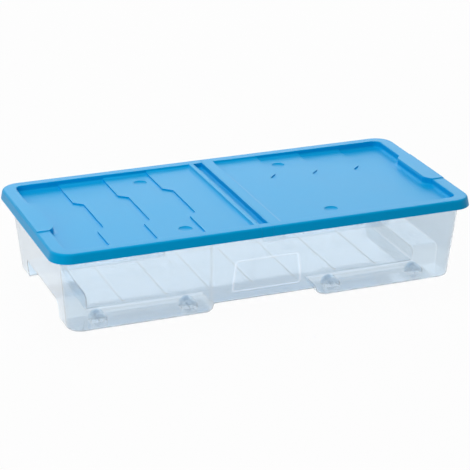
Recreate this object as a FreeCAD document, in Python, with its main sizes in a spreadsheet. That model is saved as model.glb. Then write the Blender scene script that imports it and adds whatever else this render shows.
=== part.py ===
import FreeCAD, Part
import os
import Sketcher

# Wheeled under bed box: a clear tub on eight small wheels, and a lid of two
# halves that fold up along the two edges of a centre strip.
# X runs along the length, Y across it (front is -Y), Z up from the floor.

doc = FreeCAD.newDocument("under_bed_box")
sizes = doc.addObject("Spreadsheet::Sheet", "sizes")

driving_sizes = {
    # lid
    "lid_length": 800,
    "lid_width": 388,
    "rim_top": 164.5,
    "skirt_height": 17.5,
    "skirt_flare": 3,
    "lid_wall": 2,
    "lid_corner": 36,
    "rim_edge": 4,
    "recess_side_gap": 8.3,
    "recess_end_gap": 5.2,
    "recess_corner": 18,
    "tab_rise": 1.5,
    "tab_half": 70,
    "tab_reach": 12,
    "tab_bevel": 13,
    "tab_gap": 2,
    "tab_setback": 0.2,
    # stepped panels of the lid
    "panel_depth": 5.5,
    "panel_drop": 2.5,
    "first_step": 113.5,
    "step_pitch": 86.5,
    "jog_shift": 16,
    "jog_inset": 95.5,
    "jog_length": 15.5,
    "dimple_radius": 12.5,
    "dimple_depth": 3,
    "dimple_from_step": 26.5,
    "dimple_inset": 45,
    # groove and fold lines in the middle of the lid
    "groove_middle": -9.5,
    "groove_width": 19,
    "groove_depth": 9,
    "groove_wall": 1.5,
    "ridge_width": 7,
    "ledge_width": 21,
    "fold_gap": 0.3,
    "notch_width": 8,
    "notch_depth": 1.2,
    # tub
    "tub_wall": 2,
    "lid_clearance": 0.3,
    "end_clearance": 9.8,
    "side_clearance": 1.7,
    "end_slope": 13.9,
    "side_slope": 12.3,
    "foot_height": 8,
    "foot_breadth": 69.5,
    "tub_corner": 28,
    "flange_reach": 3,
    "flange_thick": 2,
    "floor_height": 19,
    "channel_draft": 1.5,
    "setback": 10,
    "setback_inner": 101.5,
    "setback_outer": 113.5,
    "setback_top": 150,
    "grip_height": 45,
    "grip_depth": 48,
    "grip_corner": 10,
    "frame_half_top": 61,
    "frame_half_low": 67,
    "frame_top": 99,
    "frame_low": 37,
    "frame_line": 2.2,
    "frame_proud": 0.8,
    "frame_sunk": 1,
    "floor_rib_pitch": 82.5,
    "floor_rib_count": 7,
    "floor_rib_width": 5,
    "floor_rib_height": 1.6,
    "floor_rib_inset": 10,
    # wheels and axle pins
    "wheel_radius": 12,
    "wheel_width": 12,
    "wheel_shoulder": 1.2,
    "wheel_rim": 2.5,
    "wheel_dish": 2,
    "hub_radius": 4.5,
    "inner_wheel_inset": 25.3,
    "outer_wheel_inset": 61,
    "wheel_inset": 40.5,
    "pocket_gap": 1.5,
    "pocket_side_gap": 1.5,
    "pin_radius": 1.5,
    "pin_play": 0.08,
    "pin_seat_play": 0.03,
    "pin_head_radius": 1.9,
    "pin_head_thick": 1,
    # how far a cutting form runs past what it cuts
    "cut_near": 1,
    "cut_past": 5,
    "cut_far": 20,
}

panel_count = 4
setback_spread = 4
same = 0.01


def fill_sheet():
    for row, (name, size) in enumerate(driving_sizes.items(), start=1):
        sizes.set("A%d" % row, name)
        sizes.set("B%d" % row, str(size))
        sizes.setAlias("B%d" % row, name)
    doc.recompute()


def cell(name):
    return "sizes." + name


def value(expression):
    result = sizes.evalExpression(expression)
    return float(getattr(result, "Value", result))


def new_body(name):
    return doc.addObject("PartDesign::Body", name)


def plane(body, role):
    return next(item for item in body.Origin.OriginFeatures if item.Role == role)


def new_sketch(body, name, role="XY_Plane", lift="0"):
    sketch = body.newObject("Sketcher::SketchObject", name)
    sketch.AttachmentSupport = [(plane(body, role), "")]
    sketch.MapMode = "FlatFace"
    sketch.setExpression("AttachmentOffset.Base.z", lift)
    return sketch


def bind(sketch, kind, geometry, point, expression):
    """Hold one point of the sketch at a distance from its origin."""
    number = value(expression)
    row = sketch.addConstraint(Sketcher.Constraint(kind, -1, 1, geometry, point, number))
    sketch.setExpression("Constraints[%d]" % row, expression)


def outline(sketch, corners):
    """Closed outline of straight lines; each corner is a pair of expressions."""
    spots = [FreeCAD.Vector(value(x), value(y), 0) for x, y in corners]
    count = len(spots)
    first = sketch.GeometryCount
    for index in range(count):
        sketch.addGeometry(Part.LineSegment(spots[index], spots[(index + 1) % count]))
    for index in range(count):
        following = first + (index + 1) % count
        sketch.addConstraint(Sketcher.Constraint("Coincident", first + index, 2, following, 1))
    for index, (x, y) in enumerate(corners):
        bind(sketch, "DistanceX", first + index, 1, x)
        bind(sketch, "DistanceY", first + index, 1, y)


def circle(sketch, x, y, radius):
    centre = FreeCAD.Vector(value(x), value(y), 0)
    index = sketch.addGeometry(Part.Circle(centre, FreeCAD.Vector(0, 0, 1), value(radius)))
    bind(sketch, "DistanceX", index, 3, x)
    bind(sketch, "DistanceY", index, 3, y)
    row = sketch.addConstraint(Sketcher.Constraint("Radius", index, value(radius)))
    sketch.setExpression("Constraints[%d]" % row, radius)


def rectangle(low_x, high_x, low_y, high_y):
    return [(low_x, low_y), (high_x, low_y), (high_x, high_y), (low_x, high_y)]


def centred(half_x, half_y):
    return rectangle("-(%s)" % half_x, half_x, "-(%s)" % half_y, half_y)


def block(name, corners, low_z, high_z):
    """Straight pad of an outline between two heights."""
    body = new_body(name)
    sketch = new_sketch(body, name + "_outline", lift=low_z)
    outline(sketch, corners)
    pad = body.newObject("PartDesign::Pad", name + "_pad")
    pad.Profile = sketch
    pad.setExpression("Length", "%s - (%s)" % (high_z, low_z))
    body.Tip = pad
    doc.recompute()
    return body


def frustum(name, low_half_x, low_half_y, low_z, high_half_x, high_half_y, high_z):
    """Box with leaning sides, centred on the Z axis."""
    body = new_body(name)
    wedge = body.newObject("PartDesign::AdditiveWedge", name + "_wedge")
    wedge.AttachmentSupport = [(plane(body, "XZ_Plane"), "")]
    wedge.MapMode = "FlatFace"
    spans = {
        "Y": (low_z, high_z),
        "X": ("-(%s)" % low_half_x, low_half_x),
        "Z": ("-(%s)" % low_half_y, low_half_y),
        "X2": ("-(%s)" % high_half_x, high_half_x),
        "Z2": ("-(%s)" % high_half_y, high_half_y),
    }
    for axis, (low, high) in spans.items():
        wedge.setExpression(axis + "min", low)
        wedge.setExpression(axis + "max", high)
    body.Tip = wedge
    doc.recompute()
    return body


def pad_down(body, name, corners, top, depth):
    """Pad from the height top down by depth, added to the body."""
    sketch = new_sketch(body, name + "_outline", lift=top)
    outline(sketch, corners)
    pad = body.newObject("PartDesign::Pad", name)
    pad.Profile = sketch
    pad.Reversed = True
    pad.setExpression("Length", depth)
    body.Tip = pad
    doc.recompute()
    return pad


def round_edges(body, name, radius, wanted):
    """Fillet the edges of the body's tip for which wanted(edge) is true."""
    base = body.Tip
    edges = base.Shape.Edges
    names = ["Edge%d" % (index + 1) for index, edge in enumerate(edges) if wanted(edge)]
    fillet = body.newObject("PartDesign::Fillet", name)
    fillet.Base = (base, names)
    fillet.setExpression("Radius", radius)
    body.Tip = fillet
    doc.recompute()
    return fillet


def upright(edge):
    """True for the corner edges that run from bottom to top."""
    box = edge.BoundBox
    return box.ZLength > max(box.XLength, box.YLength)


def boolean(kind, name, base, tools):
    """Cut or Common of two objects, or a fuse of several."""
    if kind == "MultiFuse":
        result = doc.addObject("Part::MultiFuse", name)
        result.Shapes = [base] + tools
    else:
        result = doc.addObject("Part::" + kind, name)
        result.Base = base
        result.Tool = tools[0]
    doc.recompute()
    return result


def fuse(name, items):
    return boolean("MultiFuse", name, items[0], items[1:])


def cut(name, base, tool):
    return boolean("Cut", name, base, [tool])


def common(name, base, tool):
    return boolean("Common", name, base, [tool])


# Heights and edges that several pieces share
rim_top = cell("rim_top")
skirt_low = "(sizes.rim_top - sizes.skirt_height)"
lid_half_x = "(sizes.lid_length / 2)"
lid_half_y = "(sizes.lid_width / 2)"
tub_top = "(sizes.rim_top - sizes.lid_wall - sizes.lid_clearance)"
flange_low = "(%s - sizes.flange_thick)" % tub_top
# The tub's flange fits inside the lid's skirt, and its wall stands inside the flange
flange_x = "(%s - sizes.lid_wall - sizes.skirt_flare - sizes.end_clearance)" % lid_half_x
flange_y = "(%s - sizes.lid_wall - sizes.skirt_flare - sizes.side_clearance)" % lid_half_y
wall_x = "(%s - sizes.flange_reach)" % flange_x
wall_y = "(%s - sizes.flange_reach)" % flange_y
foot_x = "(%s - sizes.end_slope)" % wall_x
foot_y = "(%s - sizes.side_slope)" % wall_y
channel_half = "(%s - sizes.foot_breadth)" % foot_y
# The lid's recess goes down inside the tub's wall
recess_x = "(%s - sizes.tub_wall - sizes.lid_wall - sizes.recess_end_gap)" % wall_x
recess_y = "(%s - sizes.tub_wall - sizes.lid_wall - sizes.recess_side_gap)" % wall_y
groove_left = "(sizes.groove_middle - sizes.groove_width / 2)"
groove_right = "(sizes.groove_middle + sizes.groove_width / 2)"
fold_left = "(%s - sizes.groove_wall)" % groove_left
fold_right = "(%s + sizes.groove_wall)" % groove_right
# The outer wall of the tub leans out by this much for each millimetre of height
side_lean = "(sizes.side_slope / (%s - sizes.foot_height))" % tub_top
end_lean = "(sizes.end_slope / (%s - sizes.foot_height))" % tub_top
setback_low = "(%s - sizes.setback)" % foot_y


def lid_form(name, inset):
    """The whole lid's outside, or with an inset the space inside its walls."""
    low_x = "(%s - %s)" % (lid_half_x, inset)
    low_y = "(%s - %s)" % (lid_half_y, inset)
    high_x = "(%s - sizes.skirt_flare)" % low_x
    high_y = "(%s - sizes.skirt_flare)" % low_y
    high_z = "(%s - %s)" % (rim_top, inset)
    body = frustum(name, low_x, low_y, skirt_low, high_x, high_y, high_z)
    round_edges(body, name + "_corners", "sizes.lid_corner - " + inset, upright)
    return body


def lid_outside():
    body = lid_form("lid_outside", "0")
    top = value(rim_top)

    def on_top(edge):
        return abs(edge.BoundBox.ZMin - top) < same

    round_edges(body, "lid_outside_edge", cell("rim_edge"), on_top)
    return body


def mirrored(corners, side):
    """Corners given for the right half, mirrored for the left one."""
    if side > 0:
        return corners
    return [("-(%s)" % x, y) for x, y in reversed(corners)]


def outer_boundary(grow):
    """End of a lid recess, from its front corner to its rear one."""
    end = "%s + %s" % (recess_x, grow)
    tab_end = "%s - sizes.tab_reach + %s" % (recess_x, grow)
    wide = "(sizes.tab_half + sizes.tab_gap - %s)" % grow
    narrow = "(sizes.tab_half + sizes.tab_gap - sizes.tab_bevel - %s)" % grow
    side = "%s + %s" % (recess_y, grow)
    front_half = [(end, "-(%s)" % side), (end, "-" + wide), (tab_end, "-" + narrow)]
    return front_half + [(x, "-(%s)" % y) for x, y in reversed(front_half)]


def step_line(level, grow):
    """Edge of one stepped panel, with its two jogs, from rear to front."""
    far = "(sizes.first_step + %d * sizes.step_pitch - %s)" % (level - 1, grow)
    near = "(%s - sizes.jog_shift)" % far
    side = "(%s + %s)" % (recess_y, grow)
    jog_outer = "(%s - sizes.jog_inset)" % recess_y
    jog_inner = "(%s - sizes.jog_length)" % jog_outer
    rear_half = [(far, side), (far, jog_outer), (near, jog_inner)]
    return rear_half + [(x, "-(%s)" % y) for x, y in reversed(rear_half)]


def recess_form(name, side, grow):
    """Stepped recess in the top of one half; grown by the wall it bounds the skin."""
    body = new_body(name)
    top = "(%s + sizes.tab_rise + sizes.cut_near)" % rim_top
    above = "sizes.tab_rise + sizes.cut_near + " + grow
    if side > 0:
        start = "(%s + sizes.ledge_width - %s)" % (groove_right, grow)
    else:
        start = "(-(%s) + sizes.ridge_width - %s)" % (groove_left, grow)
    straight = [(start, "%s + %s" % (recess_y, grow)), (start, "-(%s + %s)" % (recess_y, grow))]
    for level in range(panel_count):
        line = straight if level == 0 else step_line(level, grow)
        depth = "sizes.panel_depth + %d * sizes.panel_drop + %s" % (level, above)
        corners = mirrored(line + outer_boundary(grow), side)
        pad_down(body, "%s_level_%d" % (name, level), corners, top, depth)
    end_x = value("%s + %s" % (recess_x, grow))
    end_y = value("%s + %s" % (recess_y, grow))

    def end_corner(edge):
        middle = edge.BoundBox.Center
        return abs(abs(middle.x) - end_x) < same and abs(abs(middle.y) - end_y) < same

    round_edges(body, name + "_corners", "sizes.recess_corner + " + grow,
                lambda edge: upright(edge) and end_corner(edge))
    dimple_x = "%d * (sizes.first_step + sizes.dimple_from_step)" % side
    sketch = new_sketch(body, name + "_dimple_outline", lift=top)
    dimple_side = "(%s - sizes.dimple_inset)" % recess_y
    for dimple_y in (dimple_side, "-" + dimple_side):
        circle(sketch, dimple_x, dimple_y, "sizes.dimple_radius + " + grow)
    dimples = body.newObject("PartDesign::Pad", name + "_dimples")
    dimples.Profile = sketch
    dimples.Reversed = True
    depth = "sizes.panel_depth + sizes.panel_drop + sizes.dimple_depth + " + above
    dimples.setExpression("Length", depth)
    body.Tip = dimples
    doc.recompute()
    return body


def lid_half(name, side, outside, inside):
    """One half of the lid, from its fold line to its end."""
    fold = "(%s + sizes.fold_gap / 2)" % fold_right
    if side < 0:
        fold = "(-(%s) + sizes.fold_gap / 2)" % fold_left
    beyond = "(%s + sizes.cut_far)" % lid_half_x
    wide = "(%s + sizes.cut_far)" % lid_half_y
    region = mirrored(rectangle(fold, beyond, "-" + wide, wide), side)
    low = "(%s - sizes.cut_past)" % skirt_low
    high = "(%s + sizes.cut_past)" % rim_top
    region_body = block(name + "_region", region, low, high)
    shell = common(name + "_shell", outside, region_body)
    tab_outer = "(%s - sizes.skirt_flare - sizes.tab_setback)" % lid_half_x
    tab_base = recess_x
    tab_tip = "(%s - sizes.tab_reach)" % recess_x
    narrow = "(sizes.tab_half - sizes.tab_bevel)"
    tab_corners = [
        (tab_outer, "-sizes.tab_half"), (tab_outer, "sizes.tab_half"),
        (tab_base, "sizes.tab_half"), (tab_tip, narrow),
        (tab_tip, "-" + narrow), (tab_base, "-sizes.tab_half"),
    ]
    tab_low = "(%s - sizes.rim_edge)" % rim_top
    tab = block(name + "_tab", mirrored(tab_corners, side), tab_low, rim_top + " + sizes.tab_rise")
    solid = fuse(name + "_solid", [shell, tab])
    recess = recess_form(name + "_recess", side, "0")
    skin = recess_form(name + "_skin", side, cell("lid_wall"))
    edge_inner = "(%s + sizes.lid_wall)" % fold
    edge_wide = "(%s + sizes.lid_wall)" % recess_y
    edge = mirrored(rectangle(fold, edge_inner, "-" + edge_wide, edge_wide), side)
    groove_skin = "(%s - sizes.groove_depth - sizes.lid_wall)" % rim_top
    edge_wall = block(name + "_edge_wall", edge, groove_skin, high)
    kept = fuse(name + "_kept", [skin, edge_wall])
    room = common(name + "_room", inside, region_body)
    hollow = cut(name + "_hollow", room, kept)
    dished = cut(name + "_dished", solid, recess)
    half = cut(name, dished, hollow)
    half.Label = name
    return half


def hinge_strip(outside, inside):
    """Centre strip with the groove; both halves fold up along its edges."""
    name = "lid_hinge_strip"
    low_x = "(%s + sizes.fold_gap / 2)" % fold_left
    high_x = "(%s - sizes.fold_gap / 2)" % fold_right
    wide = "(%s + sizes.cut_far)" % lid_half_y
    low = "(%s - sizes.cut_past)" % skirt_low
    high = "(%s + sizes.cut_past)" % rim_top
    region = block(name + "_region", rectangle(low_x, high_x, "-" + wide, wide), low, high)
    shell = common(name + "_shell", outside, region)
    floor = "(%s - sizes.groove_depth)" % rim_top
    groove = rectangle(groove_left, groove_right, "-" + recess_y, recess_y)
    groove_body = block(name + "_groove", groove, floor, high)
    notch_low = recess_y + " - sizes.cut_near"
    notch = rectangle(groove_right + " - sizes.notch_width", groove_right, notch_low, wide)
    notch_body = block(name + "_notch", notch, rim_top + " - sizes.notch_depth", high)
    kept_wide = "(%s + sizes.lid_wall)" % recess_y
    kept = rectangle(low_x + " - sizes.cut_near", high_x + " + sizes.cut_near",
                     "-" + kept_wide, kept_wide)
    kept_body = block(name + "_kept", kept, floor + " - sizes.lid_wall", high)
    room = common(name + "_room", inside, region)
    hollow = cut(name + "_hollow", room, kept_body)
    grooved = cut(name + "_grooved", shell, groove_body)
    notched = cut(name + "_notched", grooved, notch_body)
    strip = cut(name, notched, hollow)
    strip.Label = name
    return strip


def tub_form(name, inset, low_z, high_z):
    """The tub's outside with leaning walls, or the space inside its walls."""
    def half_sizes(height):
        rise = "(%s - sizes.foot_height)" % height
        half_x = "(%s + %s * %s - %s)" % (foot_x, rise, end_lean, inset)
        half_y = "(%s + %s * %s - %s)" % (foot_y, rise, side_lean, inset)
        return half_x, half_y

    low_x, low_y = half_sizes(low_z)
    high_x, high_y = half_sizes(high_z)
    body = frustum(name, low_x, low_y, low_z, high_x, high_y, high_z)
    round_edges(body, name + "_corners", "sizes.tub_corner - " + inset, upright)
    return body


def lean_out(body, side):
    """Turn a form drawn upright so that it follows the lean of a long wall."""
    lean = "atan(%s)" % side_lean
    turn = FreeCAD.Rotation(FreeCAD.Vector(-side, 0, 0), value(lean))
    body.Placement = FreeCAD.Placement(FreeCAD.Vector(0, 0, 0), turn)
    body.setExpression("Placement.Rotation.Angle", lean)
    body.setExpression("Placement.Base.y", "%d * %s" % (side, setback_low))
    body.setExpression("Placement.Base.z", "sizes.foot_height")
    doc.recompute()


def setback_form(name, side, grow):
    """Wedge that sets the middle of a long wall back, up to a ledge below the lid."""
    inner = "(sizes.setback_inner + %s)" % grow
    outer = "(sizes.setback_outer + %s)" % grow
    far_x = "(%s + (%s - %s) * %d)" % (outer, outer, inner, setback_spread)
    far_y = "(sizes.setback * %d - %s)" % (setback_spread + 1, grow)
    back = "-" + grow
    ring = [("-" + far_x, far_y), ("-" + inner, back), (inner, back), (far_x, far_y)]
    if side < 0:
        ring = [(x, "-(%s)" % y) for x, y in ring]
    top = "(sizes.setback_top - sizes.foot_height + %s)" % grow
    body = block(name, ring, "-2 * sizes.cut_past", top)
    lean_out(body, side)
    return body


def channel_form(name, grow):
    """Raised floor between the feet, along the whole length."""
    long = "(%s + sizes.cut_far)" % foot_x
    narrow = "(%s + %s)" % (channel_half, grow)
    wide = "(%s + sizes.channel_draft)" % narrow
    return frustum(name, long, wide, "-sizes.cut_past", long, narrow,
                   "(sizes.floor_height + %s)" % grow)


def middle_form(name, grow):
    """Raised floor between the feet, across the whole width."""
    wide = "(sizes.setback_inner + %s)" % grow
    across = "(%s + sizes.cut_far)" % foot_y
    top = "sizes.floor_height + %s" % grow
    return block(name, centred(wide, across), "-sizes.cut_past", top)


def grip_form(name, side, grow):
    """Finger grip under one end: an arch cut up into the end wall."""
    near = "(%s - sizes.grip_depth - %s)" % (foot_x, grow)
    far = "(%s + sizes.cut_far)" % foot_x
    narrow = "(%s + %s)" % (channel_half, grow)
    corners = mirrored(rectangle(near, far, "-" + narrow, narrow), side)
    body = block(name, corners, "-sizes.cut_past", "sizes.grip_height + " + grow)
    top = value("sizes.grip_height + " + grow)

    def top_side(edge):
        box = edge.BoundBox
        return abs(box.ZMin - top) < same and box.XLength > box.YLength

    round_edges(body, name + "_arch", "sizes.grip_corner + " + grow, top_side)
    return body


def wheel_spots():
    """Name, X expression and side of each wheel, from left to right."""
    outer = "(%s - sizes.outer_wheel_inset)" % foot_x
    inner = "(sizes.setback_outer + sizes.inner_wheel_inset)"
    places = ["-" + outer, "-" + inner, inner, outer]
    for side_name, side in (("front", -1), ("rear", 1)):
        for number, x in enumerate(places, start=1):
            yield "%s_%d" % (side_name, number), x, side


# Each wheel turns in a pocket in the middle of its foot, between two pocket walls
wheel_y = "(%s - sizes.wheel_inset)" % foot_y
pocket_y = "(%s - sizes.wheel_width / 2 - sizes.pocket_side_gap)" % wheel_y
pocket_far = "(%s + sizes.wheel_width / 2 + sizes.pocket_side_gap)" % wheel_y
housing_far = "(%s + sizes.tub_wall)" % pocket_far


def arch_outline(sketch, x, radius, low):
    """Round-topped arch about the axle, with straight sides down to low."""
    centre = FreeCAD.Vector(value(x), value("sizes.wheel_radius"), 0)
    across = FreeCAD.Vector(value(radius), 0, 0)
    up = FreeCAD.Vector(0, value(radius), 0)
    down = FreeCAD.Vector(0, value(low) - centre.y, 0)
    ends = [centre + across, centre - across, centre - across + down, centre + across + down]
    arc = sketch.addGeometry(Part.Arc(ends[0], centre + up, ends[1]))
    left = sketch.addGeometry(Part.LineSegment(ends[1], ends[2]))
    base = sketch.addGeometry(Part.LineSegment(ends[2], ends[3]))
    right = sketch.addGeometry(Part.LineSegment(ends[3], ends[0]))
    sketch.addConstraint(Sketcher.Constraint("Tangent", arc, 2, left, 1))
    sketch.addConstraint(Sketcher.Constraint("Tangent", right, 2, arc, 1))
    sketch.addConstraint(Sketcher.Constraint("Coincident", left, 2, base, 1))
    sketch.addConstraint(Sketcher.Constraint("Coincident", base, 2, right, 1))
    sketch.addConstraint(Sketcher.Constraint("Vertical", left))
    sketch.addConstraint(Sketcher.Constraint("Vertical", right))
    sketch.addConstraint(Sketcher.Constraint("Horizontal", base))
    bind(sketch, "DistanceX", arc, 3, x)
    bind(sketch, "DistanceY", arc, 3, "sizes.wheel_radius")
    bind(sketch, "DistanceY", base, 1, low)
    row = sketch.addConstraint(Sketcher.Constraint("Radius", arc, value(radius)))
    sketch.setExpression("Constraints[%d]" % row, radius)


def pocket_form(name, x, side, grow):
    """Arch over one wheel, open below; grown by the wall it is the housing."""
    body = new_body(name)
    near = "(%s - %s)" % (pocket_y, grow)
    radius = "(sizes.wheel_radius + sizes.pocket_gap + %s)" % grow
    sketch = new_sketch(body, name + "_arch", "XZ_Plane", "%d * %s" % (-side, near))
    arch_outline(sketch, x, radius, "-sizes.cut_past")
    pad = body.newObject("PartDesign::Pad", name + "_pad")
    pad.Profile = sketch
    pad.Reversed = side > 0
    pad.setExpression("Length", "%s - %s + 2 * %s" % (pocket_far, pocket_y, grow))
    body.Tip = pad
    doc.recompute()
    return body


def pin_hole(name, x, side):
    """Hole for one axle pin, through both walls of its pocket."""
    hole = doc.addObject("Part::Cylinder", name)
    hole.setExpression("Radius", "sizes.pin_radius + sizes.pin_seat_play")
    near = "(%s - sizes.tub_wall - sizes.cut_near)" % pocket_y
    hole.setExpression("Height", "%s - %s + sizes.cut_near" % (housing_far, near))
    hole.Placement.Rotation = FreeCAD.Rotation(FreeCAD.Vector(1, 0, 0), -90 * side)
    hole.setExpression("Placement.Base.x", x)
    hole.setExpression("Placement.Base.y", "%d * %s" % (side, near))
    hole.setExpression("Placement.Base.z", "sizes.wheel_radius")
    return hole


def frame_line(name, side):
    """Thin raised outline on the set-back middle of a long wall."""
    body = new_body(name)
    sketch = new_sketch(body, name + "_outline", "XZ_Plane", "%d * sizes.frame_sunk" % side)
    for inset in ("0", cell("frame_line")):
        low = "sizes.frame_low - sizes.foot_height + " + inset
        high = "sizes.frame_top - sizes.foot_height - " + inset
        low_x = "(sizes.frame_half_low - %s)" % inset
        high_x = "(sizes.frame_half_top - %s)" % inset
        outline(sketch, [("-" + low_x, low), (low_x, low), (high_x, high), ("-" + high_x, high)])
    pad = body.newObject("PartDesign::Pad", name + "_pad")
    pad.Profile = sketch
    pad.Reversed = side > 0
    pad.setExpression("Length", "sizes.frame_proud + sizes.frame_sunk")
    body.Tip = pad
    lean_out(body, side)
    return body


def floor_rib(name, x):
    """Low stiffening rib across the raised floor."""
    half = "(sizes.floor_rib_width / 2)"
    low = "sizes.floor_height + sizes.tub_wall / 2"
    high = "sizes.floor_height + sizes.tub_wall + sizes.floor_rib_height"
    rib_end = "(%s - sizes.floor_rib_inset)" % channel_half
    corners = rectangle("%s - %s" % (x, half), "%s + %s" % (x, half), "-" + rib_end, rib_end)
    return block(name, corners, low, high)


def recess_forms(name, grow):
    """Everything that presses into the tub from outside, but not its wheel pockets."""
    forms = [channel_form(name + "_channel", grow), middle_form(name + "_middle", grow)]
    for side_name, side in (("rear", 1), ("front", -1)):
        forms.append(setback_form("%s_%s_setback" % (name, side_name), side, grow))
    for end_name, side in (("left", -1), ("right", 1)):
        forms.append(grip_form("%s_%s_grip" % (name, end_name), side, grow))
    return forms


def tub():
    wall = cell("tub_wall")
    foot = cell("foot_height")
    outside = tub_form("tub_outside", "0", foot, tub_top)
    flange = block("tub_flange", centred(flange_x, flange_y), flange_low, tub_top)
    round_edges(flange, "tub_flange_corners", "sizes.tub_corner + sizes.flange_reach", across_rim)
    blank = fuse("tub_blank", [outside, flange])
    inside = tub_form("tub_inside", wall, "(%s + %s)" % (foot, wall), "(%s + sizes.cut_past)" % tub_top)
    pocket_room = tub_form("tub_pocket_room", wall, "(%s - 2 * sizes.cut_past)" % foot, tub_top)
    pockets = []
    housings = []
    holes = []
    for place, x, side in wheel_spots():
        pockets.append(pocket_form("pocket_" + place, x, side, "0"))
        housings.append(pocket_form("housing_" + place, x, side, wall))
        holes.append(pin_hole("pin_hole_" + place, x, side))
    all_pockets = common("tub_pockets", fuse("tub_pocket_arches", pockets), pocket_room)
    recesses = fuse("tub_recesses", recess_forms("recess", "0") + [all_pockets])
    skins = fuse("tub_skins", recess_forms("skin", wall) + housings)
    cavity = cut("tub_cavity", inside, skins)
    carved = cut("tub_carved", blank, recesses)
    shell = cut("tub_shell", carved, cavity)
    extras = [frame_line("frame_rear", 1), frame_line("frame_front", -1)]
    side_count = (int(value("sizes.floor_rib_count")) - 1) // 2
    for number in range(-side_count, side_count + 1):
        x = "(%d * sizes.floor_rib_pitch)" % number
        extras.append(floor_rib("floor_rib_%d" % (number + side_count + 1), x))
    ribbed = fuse("tub_ribbed", [shell] + extras)
    result = cut("tub", ribbed, fuse("tub_pin_holes", holes))
    result.Label = "tub"
    return result


def turned_piece(name, x, y, profile):
    """Piece of revolution about an axis along Y; corners are radius and Y."""
    body = new_body(name)
    sketch = new_sketch(body, name + "_profile")
    outline(sketch, profile)
    turn = body.newObject("PartDesign::Revolution", name + "_turn")
    turn.Profile = sketch
    turn.ReferenceAxis = (sketch, ["V_Axis"])
    turn.Angle = 360
    body.Tip = turn
    body.setExpression("Placement.Base.x", x)
    body.setExpression("Placement.Base.y", y)
    body.setExpression("Placement.Base.z", "sizes.wheel_radius")
    doc.recompute()
    body.Label = name
    return body


def wheel(name, x, side):
    """Moulded wheel: tread with rounded shoulders, thin web, hub with a bore."""
    bore = "(sizes.pin_radius + sizes.pin_play)"
    hub = cell("hub_radius")
    rim_inner = "(sizes.wheel_radius - sizes.wheel_rim)"
    tread = cell("wheel_radius")
    shoulder = "(sizes.wheel_radius - sizes.wheel_shoulder)"
    face = "(sizes.wheel_width / 2)"
    tread_edge = "(sizes.wheel_width / 2 - sizes.wheel_shoulder)"
    dish = "(sizes.wheel_width / 2 - sizes.wheel_dish)"
    upper = [(bore, face), (hub, face), (hub, dish), (rim_inner, dish),
             (rim_inner, face), (shoulder, face), (tread, tread_edge)]
    profile = upper + [(x_part, "-" + y_part) for x_part, y_part in reversed(upper)]
    return turned_piece(name, x, "%d * %s" % (side, wheel_y), profile)


def axle_pin(name, x, side):
    """Pin through both walls of the pocket, with a low head on the outer one."""
    inner_end = "(%s - sizes.tub_wall)" % pocket_y
    seat = "(%s + sizes.pin_play)" % housing_far
    head = "(%s + sizes.pin_head_thick)" % seat
    half_head = "(%s + sizes.pin_head_thick / 2)" % seat
    radius = cell("pin_radius")
    head_radius = cell("pin_head_radius")
    outer = [("0", inner_end), (radius, inner_end), (radius, seat), (head_radius, seat),
             (head_radius, half_head), (radius, head), ("0", head)]
    if side > 0:
        profile = outer
    else:
        profile = [(x_part, "-" + y_part) for x_part, y_part in outer]
    return turned_piece(name, x, "0", profile)


def across_rim(edge):
    """True for the upright edges of the thin flange."""
    box = edge.BoundBox
    return box.XLength < same and box.YLength < same


def check(pieces):
    for item in doc.Objects:
        if "Invalid" in item.State or "Error" in item.State:
            raise RuntimeError("failed object: %s %s" % (item.Name, item.State))
    for piece in pieces:
        if piece.Shape.isNull() or not piece.Shape.isValid():
            raise RuntimeError("bad shape: " + piece.Label)


def write(pieces):
    os.makedirs("parts", exist_ok=True)
    for piece in pieces:
        piece.Shape.exportStep("parts/%s.step" % piece.Label)
        box = piece.Shape.BoundBox
        print("%-20s solids %d volume %9.0f  x %7.1f %7.1f  y %7.1f %7.1f  z %6.1f %6.1f" % (
            piece.Label, len(piece.Shape.Solids), piece.Shape.Volume,
            box.XMin, box.XMax, box.YMin, box.YMax, box.ZMin, box.ZMax))


fill_sheet()
lid_outer = lid_outside()
lid_inner = lid_form("lid_inside", cell("lid_wall"))
pieces = [
    lid_half("lid_left_half", -1, lid_outer, lid_inner),
    lid_half("lid_right_half", 1, lid_outer, lid_inner),
    hinge_strip(lid_outer, lid_inner),
    tub(),
]
for place, wheel_x, wheel_side in wheel_spots():
    pieces.append(wheel("wheel_" + place, wheel_x, wheel_side))
    pieces.append(axle_pin("axle_" + place, wheel_x, wheel_side))
check(pieces)
write(pieces)
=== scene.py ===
import math

import bmesh
import bpy
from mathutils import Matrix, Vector


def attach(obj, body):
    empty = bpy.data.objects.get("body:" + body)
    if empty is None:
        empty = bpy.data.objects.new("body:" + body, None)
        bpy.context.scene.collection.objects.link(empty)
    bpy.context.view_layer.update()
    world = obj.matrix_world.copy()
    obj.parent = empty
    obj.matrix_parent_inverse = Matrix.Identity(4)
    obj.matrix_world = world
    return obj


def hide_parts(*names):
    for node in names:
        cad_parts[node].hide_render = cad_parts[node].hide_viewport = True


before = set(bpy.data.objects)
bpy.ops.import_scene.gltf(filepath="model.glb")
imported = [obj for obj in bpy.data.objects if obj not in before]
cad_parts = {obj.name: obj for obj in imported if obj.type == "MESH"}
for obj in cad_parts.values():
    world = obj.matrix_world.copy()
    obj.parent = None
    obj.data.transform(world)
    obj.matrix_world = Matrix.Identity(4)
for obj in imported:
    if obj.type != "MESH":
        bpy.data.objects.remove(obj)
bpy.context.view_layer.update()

mm = 0.001  # pieces are modelled in millimetres and brought to metres when they are finished

# how close two lengths in millimetres are to count as the same
tight, touch, spare, loose = 0.02, 0.05, 0.1, 0.2

# how far a face normal leans towards an axis: faces it, is flat, or only just looks up
facing, flatTop, lookingUp = 0.9, 0.999, 0.02

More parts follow.
